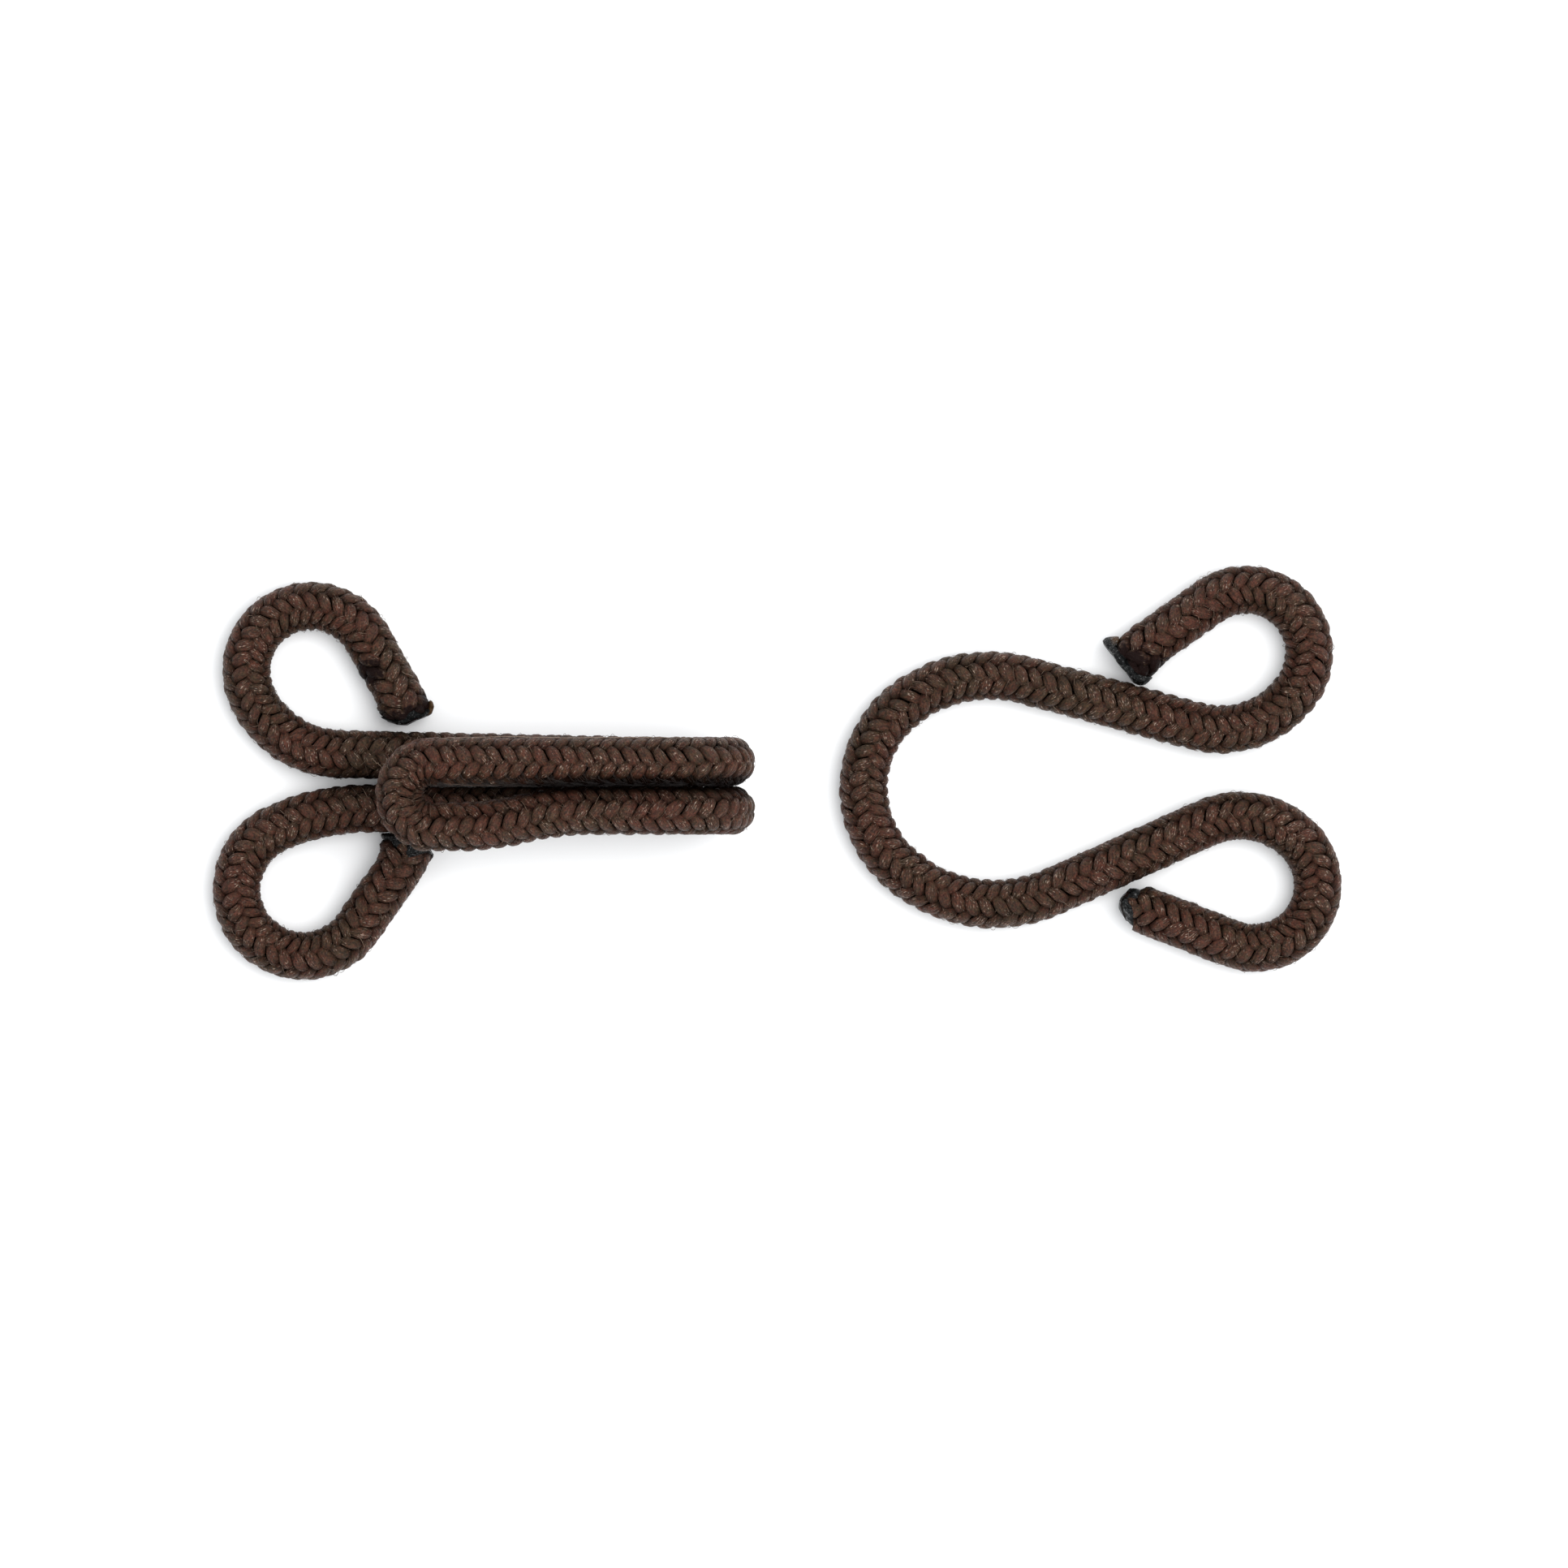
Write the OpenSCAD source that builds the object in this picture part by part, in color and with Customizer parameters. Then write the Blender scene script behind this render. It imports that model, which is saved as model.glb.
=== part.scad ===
// Hook and eye clasp for coats and furs: stiff wire covered with braided cord.
// Millimetres. Both halves lie on z = 0, the hook on the left and the eye on the right,
// with the origin under the middle of the pair.

/* [Cord] */
// Diameter over the braided covering
cord_d = 3; // [2.4:0.1:3.4]
// Diameter of the steel wire inside the covering
wire_d = 1.6; // [1.2:0.1:1.9]
// Clearance round the wire
wire_gap = 0.05; // [0.02:0.01:0.1]
// Length of a melted seal on a cut end
seal_t = 0.6; // [0.4:0.1:1]
// How far the lip of the seal that was pressed flat stands past the side of the cord
lip = 0.8; // [0.3:0.1:1.2]
// Thickness of that lip
lip_t = 0.3; // [0.2:0.05:0.4]
// Gap between a seal and the covering that it closes
seal_gap = 0.03; // [0.02:0.01:0.1]
// Distance that the wire stops short of the end of the covering
wire_inset = 0.6; // [0.3:0.1:1.5]

/* [Hook] */
// Straight length of the bill, from the bend to the nose
bill_l = 14.7; // [13:0.1:18]
// Clear height of the throat under the bill at the bend
throat = 4.5; // [4.3:0.1:6]
// Slope of the bill down towards its nose, in degrees
bill_slope = 3; // [1:0.5:3.5]
// Radius of the nose, at the middle of the cord
nose_r = 2.05; // [1.8:0.05:2.6]
// Gap between the two cords that lie side by side
pair_gap = 0.05; // [0.03:0.01:0.2]
// Radius of the two slight bends that narrow the bill behind its nose
swell_r = 17.5; // [12:0.5:24]
// Straight length of the shank, from the bend to the upper sewing loop
shank_l = 20.7; // [19.7:0.1:24]
// Radius of the hook's sewing loops, at the middle of the cord
hook_loop_r = 4.05; // [3.9:0.05:4.6]

/* [Eye] */
// Radius of the bow at its tip, at the middle of the cord
bow_r = 6.6; // [6:0.1:8]
// Straight length of the arms, from the bow to the upper sewing loop
neck_l = 11.1; // [10:0.1:14]
// Radius of the eye's sewing loops, at the middle of the cord
eye_loop_r = 3.95; // [3.8:0.05:4.6]

/* [Layout] */
// Distance between the hook and the eye
apart = 5.3; // [2:0.1:20]
// How far the tip of the bow lies below the middle of the hook
eye_drop = 0.15; // [-2:0.05:2]

/* [Hidden] */

$fn = 64;

braid_colour = "#45342d";
steel_colour = "#b9b6b0";
seal_colour = "#17120f";

// Flat sides round the braided covering and round the wire, and degrees between rings on a bend
SLEEVE_SIDES = 12;
WIRE_SIDES = 8;
BEND_STEP = 13;

// Height of the middle of a cord that lies on the floor
cord_z = cord_d / 2;
bore_d = wire_d + 2 * wire_gap;
cord_pitch = cord_d + pair_gap;
// How far the covering stops short of the sealed tip of a cut end
sleeve_cut = seal_t + seal_gap;

// A bent cord is a table of rows, each either a straight run or a bend of some radius and turn.
// Turns are in degrees, positive to the left.
RUN = 0;
RADIUS = 1;
TURN = 2;

// A place on a route: where it is, and which way it heads
X = 0;
Y = 1;
HEADING = 2;

// Columns of the tables of bends: radius as a share of a named radius, and turn
SHARE = 0;
ANGLE = 1;

// Bends of the bow from its tip, in shares of bow_r
BOW_UPPER = [[1.00, -51.5], [1.31, -53.5]];
BOW_LOWER = [[1.00, 45.0], [1.34, 69.0]];
// Bends of the eye's sewing loops, in shares of eye_loop_r
EYE_LOOP_UPPER = [[1.49, 70.5], [1.00, 160.0]];
EYE_LOOP_LOWER = [[1.32, -69.0], [1.00, -156.0]];
// Bends of the hook's sewing loops, in shares of hook_loop_r
HOOK_LOOP_UPPER = [[1.55, -60.5], [1.00, -178.5]];
HOOK_LOOP_LOWER = [[3.50, 24.5], [1.03, 211.0]];

// Straight runs of the lower arms, as shares of the upper ones
NECK_LOWER = 0.955;
SHANK_LOWER = 0.91;
// Angles at which the two cords of the shank leave the bend, so that they spread a little
SPREAD_UPPER = 1.25;
SPREAD_LOWER = 0.3;

// A drawn-up seal is a dome: its radius is a share of the cord's diameter
DOME = 0.85;
dome_r = DOME * cord_d;
dome_h = dome_r - sqrt(dome_r ^ 2 - (cord_d / 2) ^ 2);

// Gaps between the sealed ends and the straight cords that they face
END_GAP_HOOK_UPPER = 0.5;
END_GAP_HOOK_LOWER = 0.1;
END_GAP_EYE_UPPER = 0.1;
END_GAP_EYE_LOWER = 0.15;

// Rows of bends that follow each other, from shares of one radius
function bends(table, radius) = [for (row = table) [0, row[SHARE] * radius, row[ANGLE]]];

// The place after one row, from the place before it
function after(at, row) =
    let (
        side = sign(row[TURN]),
        h = at[HEADING],
        h2 = h + row[TURN]
    )
    [
        at[X] + row[RUN] * cos(h) + side * row[RADIUS] * (sin(h2) - sin(h)),
        at[Y] + row[RUN] * sin(h) - side * row[RADIUS] * (cos(h2) - cos(h)),
        h2
    ];

// The places before each row and after the last
function places(rows, at, i = 0) =
    i == len(rows) ? [at] : concat([at], places(rows, after(at, rows[i]), i + 1));

// The place at the end of a route
function end_of(rows, at) = places(rows, at)[len(rows)];

// How far a place lies from the line through another place, square to that line
function off_line(at, line) =
    abs((at[Y] - line[Y]) * cos(line[HEADING]) - (at[X] - line[X]) * sin(line[HEADING]));

// How far a seal reaches past its own middle towards a cord that its leg leans to: a flat seal
// with its corner, a domed one with its side or, where the leg is steep, with its crown
function flat_reach(lean) = cord_d / 2 * abs(cos(lean));
function domed_reach(lean) =
    abs(cos(lean)) < cord_d / 2 / dome_r
        ? dome_r * (1 - abs(sin(lean)))
        : flat_reach(lean) - dome_h * abs(sin(lean));

// Length of the free leg that ends a route, so that its seal stops a gap short of the straight
// cord that runs through the place called line
function leg_l(rows, at, line, gap, domed) =
    let (
        last = end_of(rows, at),
        lean = last[HEADING] - line[HEADING],
        seal = domed ? domed_reach(lean) : flat_reach(lean)
    )
    (off_line(last, line) - cord_d / 2 - gap - seal) / abs(sin(lean));

// A route with its free leg added
function with_leg(rows, at, line_row, gap, domed = true) =
    concat(rows, [[leg_l(rows, at, places(rows, at)[line_row], gap, domed), 0, 0]]);

// The same route with its last straight run made shorter
function shortened(rows, cut) =
    [for (i = [0:len(rows) - 1]) i < len(rows) - 1 ? rows[i] : [rows[i][RUN] - cut, 0, 0]];

// Places along one row: where it begins, and steps round its bend, but not where it ends
function row_stops(at, row) =
    let (steps = max(1, ceil(abs(row[TURN]) / BEND_STEP)))
    [for (k = [0:steps - 1]) after(at, [0, row[RADIUS], row[TURN] * k / steps])];

// Places along a whole route, its end with them
function stops(rows, at) =
    let (spots = places(rows, at))
    [for (i = [0:len(rows)]) each i < len(rows) ? row_stops(spots[i], rows[i]) : [spots[i]]];

// Lowest and highest value of one coordinate over points
function reach(points, axis) =
    [min([for (p = points) p[axis]]), max([for (p = points) p[axis]])];

// Hook, drawn with the outer end of its bend at x = 0 and its middle at y = 0
bend_r = (throat + cord_d) / 2;
bend_x = -bend_r - cord_d / 2;
bend_z = cord_z + bend_r;

HOOK_UPPER_START = [bend_x, cord_pitch / 2, 180 - SPREAD_UPPER];
HOOK_LOWER_START = [bend_x, -cord_pitch / 2, 180 - SPREAD_LOWER];
SHANK_ROW = 0;
HOOK_UPPER = with_leg(
    concat([[shank_l, 0, 0]], bends(HOOK_LOOP_UPPER, hook_loop_r)),
    HOOK_UPPER_START, SHANK_ROW, END_GAP_HOOK_UPPER
);
HOOK_LOWER = with_leg(
    concat([[shank_l * SHANK_LOWER, 0, 0]], bends(HOOK_LOOP_LOWER, hook_loop_r)),
    HOOK_LOWER_START, SHANK_ROW, END_GAP_HOOK_LOWER
);

// The nose is wider than the pair of cords behind it, so the lower cord of the bill
// comes back to the pair through two bends of swell_r
NOSE_RUN = 0.1;
swell_turn = acos(1 - (2 * nose_r - cord_pitch) / (2 * swell_r));
swell_l = 2 * swell_r * sin(swell_turn);
nose_run = NOSE_RUN * bill_l;
BILL = [
    [bill_l, 0, 0],
    [0, nose_r, 180],
    [nose_run, 0, 0],
    [0, swell_r, swell_turn],
    [0, swell_r, -swell_turn],
    [bill_l - nose_run - swell_l, 0, 0]
];
BILL_START = [0, cord_pitch / 2, 180];

// Eye, drawn with the outer side of its bow's tip at x = 0
EYE_TIP = [cord_d / 2, 0, 90];
EYE_BACK = [cord_d / 2, 0, -90];
NECK_ROW = len(BOW_UPPER);
EYE_UPPER = with_leg(
    concat(bends(BOW_UPPER, bow_r), [[neck_l, 0, 0]], bends(EYE_LOOP_UPPER, eye_loop_r)),
    EYE_TIP, NECK_ROW, END_GAP_EYE_UPPER, domed = false
);
EYE_LOWER = with_leg(
    concat(
        bends(BOW_LOWER, bow_r),
        [[neck_l * NECK_LOWER, 0, 0]],
        bends(EYE_LOOP_LOWER, eye_loop_r)
    ),
    EYE_BACK, NECK_ROW, END_GAP_EYE_LOWER
);

// Where the two halves stand, so that the origin is under the middle of their box
hook_points = concat(stops(HOOK_UPPER, HOOK_UPPER_START), stops(HOOK_LOWER, HOOK_LOWER_START));
eye_points = concat(stops(EYE_UPPER, EYE_TIP), stops(EYE_LOWER, EYE_BACK));
left = reach(hook_points, X)[0];
right = apart + reach(eye_points, X)[1];
bottom = min(reach(hook_points, Y)[0], reach(eye_points, Y)[0] - eye_drop);
top = max(reach(hook_points, Y)[1], reach(eye_points, Y)[1] - eye_drop);
hook_at = [-(left + right) / 2, -(bottom + top) / 2, 0];
eye_at = hook_at + [apart, -eye_drop, 0];

// A station is where a ring of the cord stands: its middle, the way to its side and the way up
MIDDLE = 0;
SIDE = 1;
UP = 2;

// Stations of a flat route at one height. The side is to the left of the way it heads, or to the
// right where side is -1, and up is down where up is -1.
function flat_stations(spots, z, side, up) =
    [for (p = spots) [[p[X], p[Y], z], side * [-sin(p[HEADING]), cos(p[HEADING]), 0], [0, 0, up]]];

// Stations of the upright bend between the shank and the bill, from the shank up, without its ends
function lift_stations(y, side) =
    let (turn = 180 + bill_slope, steps = ceil(turn / BEND_STEP))
    [
        for (k = [1:steps - 1])
            let (
                angle = -90 + turn * k / steps,
                out = [cos(angle), 0, sin(angle)]
            )
            [[bend_x, y, bend_z] + bend_r * out, [0, side, 0], -out]
    ];

// A vector of the bill, which is drawn level, sloped as the bill is
function sloped(v) =
    [
        v[0] * cos(bill_slope) - v[2] * sin(bill_slope),
        v[1],
        v[2] * cos(bill_slope) + v[0] * sin(bill_slope)
    ];

// A list from its last item to its first
function reversed(list) = [for (i = [len(list) - 1:-1:0]) list[i]];

// A list without its first item
function tail(list) = [for (i = [1:len(list) - 1]) list[i]];

// Stations of the whole hook, from the end of its upper loop to the end of its lower one,
// with a cut left off at both ends
function hook_stations(cut) =
    concat(
        reversed(flat_stations(
            stops(shortened(HOOK_UPPER, cut), HOOK_UPPER_START), cord_z, -1, 1
        )),
        lift_stations(cord_pitch / 2, 1),
        [
            for (s = flat_stations(stops(BILL, BILL_START), bend_r, -1, -1))
                [[bend_x, 0, bend_z] + sloped(s[MIDDLE]), sloped(s[SIDE]), sloped(s[UP])]
        ],
        reversed(lift_stations(-cord_pitch / 2, -1)),
        flat_stations(stops(shortened(HOOK_LOWER, cut), HOOK_LOWER_START), cord_z, 1, 1)
    );

// Stations of the whole eye, in the same way
function eye_stations(cut) =
    concat(
        reversed(flat_stations(stops(shortened(EYE_UPPER, cut), EYE_TIP), cord_z, -1, 1)),
        tail(flat_stations(stops(shortened(EYE_LOWER, cut), EYE_BACK), cord_z, 1, 1))
    );

// Points of the rings at all stations
function rings(stations, d, sides) =
    [
        for (s = stations)
            for (k = [0:sides - 1])
                s[MIDDLE] + d / 2 * (cos(360 * k / sides) * s[SIDE] + sin(360 * k / sides) * s[UP])
    ];

// Faces between rings that follow each other, from the point with number first
function skin(count, sides, first) =
    [
        for (i = [0:count - 2])
            for (k = [0:sides - 1])
                [
                    first + i * sides + k,
                    first + i * sides + (k + 1) % sides,
                    first + (i + 1) * sides + (k + 1) % sides,
                    first + (i + 1) * sides + k
                ]
    ];

// Faces of the ring-shaped end of a hollow cord, between an outer and an inner ring
function rim(outer, inner, sides) =
    [
        for (k = [0:sides - 1])
            [outer + k, inner + k, inner + (k + 1) % sides, outer + (k + 1) % sides]
    ];

// A solid cord along stations
module solid_cord(stations, d, sides) {
    count = len(stations);
    polyhedron(
        rings(stations, d, sides),
        concat(
            skin(count, sides, 0),
            [[for (k = [0:sides - 1]) sides - 1 - k]],
            [[for (k = [0:sides - 1]) (count - 1) * sides + k]]
        )
    );
}

// A hollow cord along stations
module hollow_cord(stations, d, bore, sides) {
    count = len(stations);
    total = count * sides;
    polyhedron(
        concat(rings(stations, d, sides), rings(stations, bore, sides)),
        concat(
            skin(count, sides, 0),
            [for (face = skin(count, sides, total)) reversed(face)],
            rim(0, total, sides),
            [for (face = rim(total - sides, 2 * total - sides, sides)) reversed(face)]
        )
    );
}

// Puts a seal at the end of a route, facing along +X
module at_end(rows, start) {
    spot = end_of(shortened(rows, seal_t), start);
    translate([spot[X], spot[Y], cord_z])
        rotate(spot[HEADING])
            children();
}

// A melted end that drew up into a low dome
module domed_seal() {
    intersection() {
        rotate([0, 90, 0])
            cylinder(d = cord_d, h = seal_t);
        translate([seal_t - dome_r, 0, 0])
            sphere(r = dome_r);
    }
}

// A melted end that was pressed flat, with a lip squeezed out to one side
module flat_seal() {
    rotate([0, 90, 0])
        cylinder(d = cord_d, h = seal_t);
    translate([seal_t - lip_t, -lip, 0])
        rotate([0, 90, 0])
            cylinder(d = cord_d, h = lip_t);
}

module hook_wire() {
    color(steel_colour)
        translate(hook_at)
            solid_cord(hook_stations(sleeve_cut + wire_inset), wire_d, WIRE_SIDES);
}

module hook_sleeve() {
    color(braid_colour)
        translate(hook_at)
            hollow_cord(hook_stations(sleeve_cut), cord_d, bore_d, SLEEVE_SIDES);
}

module hook_seal_upper() {
    color(seal_colour)
        translate(hook_at)
            at_end(HOOK_UPPER, HOOK_UPPER_START)
                domed_seal();
}

module hook_seal_lower() {
    color(seal_colour)
        translate(hook_at)
            at_end(HOOK_LOWER, HOOK_LOWER_START)
                domed_seal();
}

module eye_wire() {
    color(steel_colour)
        translate(eye_at)
            solid_cord(eye_stations(sleeve_cut + wire_inset), wire_d, WIRE_SIDES);
}

module eye_sleeve() {
    color(braid_colour)
        translate(eye_at)
            hollow_cord(eye_stations(sleeve_cut), cord_d, bore_d, SLEEVE_SIDES);
}

module eye_seal_upper() {
    color(seal_colour)
        translate(eye_at)
            at_end(EYE_UPPER, EYE_TIP)
                flat_seal();
}

module eye_seal_lower() {
    color(seal_colour)
        translate(eye_at)
            at_end(EYE_LOWER, EYE_BACK)
                domed_seal();
}

hook_wire();
hook_sleeve();
hook_seal_upper();
hook_seal_lower();
eye_wire();
eye_sleeve();
eye_seal_upper();
eye_seal_lower();
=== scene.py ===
"""Looks of a cord-covered hook and eye clasp that lies open on a white table.

Lengths are in metres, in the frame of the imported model. The braid, its melted ends and a few
loose filaments are made here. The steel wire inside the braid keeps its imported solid.
"""
import math

import bpy
import numpy as np
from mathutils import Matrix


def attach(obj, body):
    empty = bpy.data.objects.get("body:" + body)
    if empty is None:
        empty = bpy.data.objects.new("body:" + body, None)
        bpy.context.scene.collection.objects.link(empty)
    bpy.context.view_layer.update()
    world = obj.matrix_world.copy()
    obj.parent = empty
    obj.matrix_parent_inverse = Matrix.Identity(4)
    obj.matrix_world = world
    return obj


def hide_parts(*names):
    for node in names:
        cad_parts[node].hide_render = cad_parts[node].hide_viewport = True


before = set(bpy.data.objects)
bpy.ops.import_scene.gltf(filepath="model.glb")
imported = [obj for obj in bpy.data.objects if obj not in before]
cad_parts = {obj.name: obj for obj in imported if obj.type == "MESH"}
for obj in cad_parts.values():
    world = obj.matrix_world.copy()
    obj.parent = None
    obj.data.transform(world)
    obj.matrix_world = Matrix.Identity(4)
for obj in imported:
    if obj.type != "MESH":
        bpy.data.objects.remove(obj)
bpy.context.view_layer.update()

MM = 0.001

# Camera: straight above the table, through a long lens, as in the photograph
PHOTO_SIDE_PX = 1932
PHOTO_PX_PER_M = 19.67 / MM
PHOTO_ORIGIN_PX = (957.5, 952.0)
CAMERA_HEIGHT = 2.0
SENSOR = 36 * MM
VIEW_WIDTH = PHOTO_SIDE_PX / PHOTO_PX_PER_M
VIEW_X = (PHOTO_SIDE_PX / 2 - PHOTO_ORIGIN_PX[0]) / PHOTO_PX_PER_M
VIEW_Y = (PHOTO_ORIGIN_PX[1] - PHOTO_SIDE_PX / 2) / PHOTO_PX_PER_M

camera_data = bpy.data.cameras.new("camera")
camera_data.sensor_width = SENSOR / MM
camera_data.lens = SENSOR / MM * CAMERA_HEIGHT / VIEW_WIDTH
camera_data.clip_end = 2 * CAMERA_HEIGHT
camera = bpy.data.objects.new("camera", camera_data)
camera.location = (VIEW_X, VIEW_Y, CAMERA_HEIGHT)
bpy.context.scene.collection.objects.link(camera)
bpy.context.scene.camera = camera

# The clasp's own sizes, as in the part's source
CORD_D = 3.0 * MM
CORD_R = CORD_D / 2
PAIR_GAP = 0.05 * MM
CORD_PITCH = CORD_D + PAIR_GAP
BILL_L = 14.7 * MM
THROAT = 4.5 * MM
BILL_SLOPE = 3.0
NOSE_R = 2.05 * MM
NOSE_RUN = 0.1 * BILL_L
SWELL_R = 17.5 * MM
SHANK_L = 20.7 * MM
HOOK_LOOP_R = 4.05 * MM
BOW_R = 6.6 * MM
NECK_L = 11.1 * MM
EYE_LOOP_R = 3.95 * MM
# How far the eye lies from the hook along the clasp, and how much lower across it
APART = 5.3 * MM
EYE_DROP = 0.15 * MM

# Bends as (share of a named radius, turn in degrees, positive to the left)
BOW_UPPER = [(1.00, -51.5), (1.31, -53.5)]
BOW_LOWER = [(1.00, 45.0), (1.34, 69.0)]
EYE_LOOP_UPPER = [(1.49, 70.5), (1.00, 160.0)]
EYE_LOOP_LOWER = [(1.32, -69.0), (1.00, -156.0)]
HOOK_LOOP_UPPER = [(1.55, -60.5), (1.00, -178.5)]
HOOK_LOOP_LOWER = [(3.50, 24.5), (1.03, 211.0)]
# Lengths on the lower arms as shares of those on the upper ones
NECK_LOWER = 0.955
SHANK_LOWER = 0.91
# How far the two arms of the shank lean apart, in degrees
SPREAD_UPPER = 1.25
SPREAD_LOWER = 0.3

# A seal is a dome of this radius, and stops this far from the cord that its leg leans to
DOME_R = 0.85 * CORD_D
DOME_H = DOME_R - math.sqrt(DOME_R ** 2 - CORD_R ** 2)
END_GAP_HOOK_UPPER = 0.5 * MM
END_GAP_HOOK_LOWER = 0.1 * MM
END_GAP_EYE_UPPER = 0.1 * MM
END_GAP_EYE_LOWER = 0.15 * MM

# Length of a step along the middle line of a cord
STEP = 0.05 * MM
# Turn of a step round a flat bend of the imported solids, in degrees
BEND_STEP = 13.0


def bends(table, radius):
    """Rows (straight run, radius, turn) from a table of bends and the radius they share."""
    return [(0.0, share * radius, turn) for share, turn in table]


def points_along(place, row, shares):
    """Where a row leads, at shares of it from 0 to 1: (x, y, heading in radians).

    A straight run adds its length along the heading. A bend turns about a centre square to the
    heading, so x grows by the radius times the change of the sine, and y by the radius times
    the change of the cosine, both with the sign of the turn.
    """
    x, y, heading = place
    run, radius, turn = row
    side = np.sign(turn)
    start = math.radians(heading)
    now = start + np.radians(turn) * shares
    return (
        x + run * shares * math.cos(start) + side * radius * (np.sin(now) - math.sin(start)),
        y + run * shares * math.sin(start) - side * radius * (np.cos(now) - math.cos(start)),
        now,
    )


def after(place, row):
    """The place (x, y, heading in degrees) after one row."""
    x, y, heading = points_along(place, row, 1.0)
    return float(x), float(y), math.degrees(heading)


def places(rows, place):
    """The places before each row and after the last."""
    found = [place]
    for row in rows:
        found.append(after(found[-1], row))
    return found


def with_leg(rows, start, line_row, gap, domed=True):
    """A route with the straight leg that ends it, so long that its seal stops a gap short of
    the straight cord of line_row: the distance square to that cord, less the cord's radius, the
    gap and the seal's own reach, over the sine of the lean between the two."""
    spots = places(rows, start)
    line, last = spots[line_row], spots[-1]
    line_heading = math.radians(line[2])
    lean = math.radians(last[2] - line[2])
    distance = abs(
        (last[1] - line[1]) * math.cos(line_heading) - (last[0] - line[0]) * math.sin(line_heading)
    )
    reach = CORD_R * abs(math.cos(lean))
    if domed and abs(math.cos(lean)) < CORD_R / DOME_R:
        reach = DOME_R * (1 - abs(math.sin(lean)))
    elif domed:
        reach -= DOME_H * abs(math.sin(lean))
    length = (distance - CORD_R - gap - reach) / abs(math.sin(lean))
    return rows + [(length, 0.0, 0.0)]


BEND_R = (THROAT + CORD_D) / 2
BEND_X = -BEND_R - CORD_R
BEND_Z = CORD_R + BEND_R
HOOK_UPPER_START = (BEND_X, CORD_PITCH / 2, 180 - SPREAD_UPPER)
HOOK_LOWER_START = (BEND_X, -CORD_PITCH / 2, 180 - SPREAD_LOWER)
HOOK_UPPER = with_leg(
    [(SHANK_L, 0.0, 0.0)] + bends(HOOK_LOOP_UPPER, HOOK_LOOP_R),
    HOOK_UPPER_START, 0, END_GAP_HOOK_UPPER,
)
HOOK_LOWER = with_leg(
    [(SHANK_L * SHANK_LOWER, 0.0, 0.0)] + bends(HOOK_LOOP_LOWER, HOOK_LOOP_R),
    HOOK_LOWER_START, 0, END_GAP_HOOK_LOWER,
)
SWELL_TURN = math.degrees(math.acos(1 - (2 * NOSE_R - CORD_PITCH) / (2 * SWELL_R)))
SWELL_L = 2 * SWELL_R * math.sin(math.radians(SWELL_TURN))
BILL = [
    (BILL_L, 0.0, 0.0),
    (0.0, NOSE_R, 180.0),
    (NOSE_RUN, 0.0, 0.0),
    (0.0, SWELL_R, SWELL_TURN),
    (0.0, SWELL_R, -SWELL_TURN),
    (BILL_L - NOSE_RUN - SWELL_L, 0.0, 0.0),
]
BILL_START = (0.0, CORD_PITCH / 2, 180.0)

EYE_TIP = (CORD_R, 0.0, 90.0)
EYE_BACK = (CORD_R, 0.0, -90.0)
EYE_UPPER = with_leg(
    bends(BOW_UPPER, BOW_R) + [(NECK_L, 0.0, 0.0)] + bends(EYE_LOOP_UPPER, EYE_LOOP_R),
    EYE_TIP, len(BOW_UPPER), END_GAP_EYE_UPPER, domed=False,
)
EYE_LOWER = with_leg(
    bends(BOW_LOWER, BOW_R)
    + [(NECK_L * NECK_LOWER, 0.0, 0.0)]
    + bends(EYE_LOOP_LOWER, EYE_LOOP_R),
    EYE_BACK, len(BOW_LOWER), END_GAP_EYE_LOWER,
)


def fine_steps(row):
    """How many short steps a row takes here: its length over the length of a step."""
    return math.ceil((row[0] + row[1] * abs(math.radians(row[2]))) / STEP)


def solid_steps(row):
    """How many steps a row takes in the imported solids: its turn over the turn of a step."""
    return max(1, math.ceil(abs(row[2]) / BEND_STEP))


def flat_line(rows, start, steps_of=fine_steps):
    """x, y and heading, in rows, at steps along a whole flat route."""
    spots = places(rows, start)
    parts = []
    for place, row in zip(spots, rows):
        count = steps_of(row)
        columns = points_along(place, row, np.arange(count) / count)
        parts.append(np.stack(np.broadcast_arrays(*columns), axis=1))
    parts.append(np.array([[spots[-1][0], spots[-1][1], math.radians(spots[-1][2])]]))
    return np.concatenate(parts)


def flat_stations(line, z, side, up):
    """Stations of a flat line at one height, as rows of nine numbers: middle, side and up."""
    zero = np.zeros(len(line))
    return np.stack([
        line[:, 0], line[:, 1], zero + z,
        -side * np.sin(line[:, 2]), side * np.cos(line[:, 2]), zero,
        zero, zero, zero + up,
    ], axis=1)


def lift_stations(y, side):
    """Stations of the upright bend, from the shank up: a half circle and the bill's slope more,
    whose up is the way to its centre."""
    sweep = math.radians(180 + BILL_SLOPE)
    count = math.ceil(sweep * BEND_R / STEP)
    angle = -math.pi / 2 + sweep * np.arange(1, count) / count
    zero = np.zeros(count - 1)
    out_x, out_z = np.cos(angle), np.sin(angle)
    return np.stack([
        BEND_X + BEND_R * out_x, zero + y, BEND_Z + BEND_R * out_z,
        zero, zero + side, zero,
        -out_x, zero, -out_z,
    ], axis=1)


def bill_stations():
    """Stations of the bill: drawn level above the middle of the bend, and turned by the slope
    about that middle."""
    level = flat_stations(flat_line(BILL, BILL_START), BEND_R, -1, -1).reshape(-1, 3, 3)
    slope = math.radians(BILL_SLOPE)
    turn = np.array([
        [math.cos(slope), 0, math.sin(slope)],
        [0, 1, 0],
        [-math.sin(slope), 0, math.cos(slope)],
    ])
    turned = level @ turn
    turned[:, 0] += (BEND_X, 0, BEND_Z)
    return turned.reshape(-1, 9)


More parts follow.
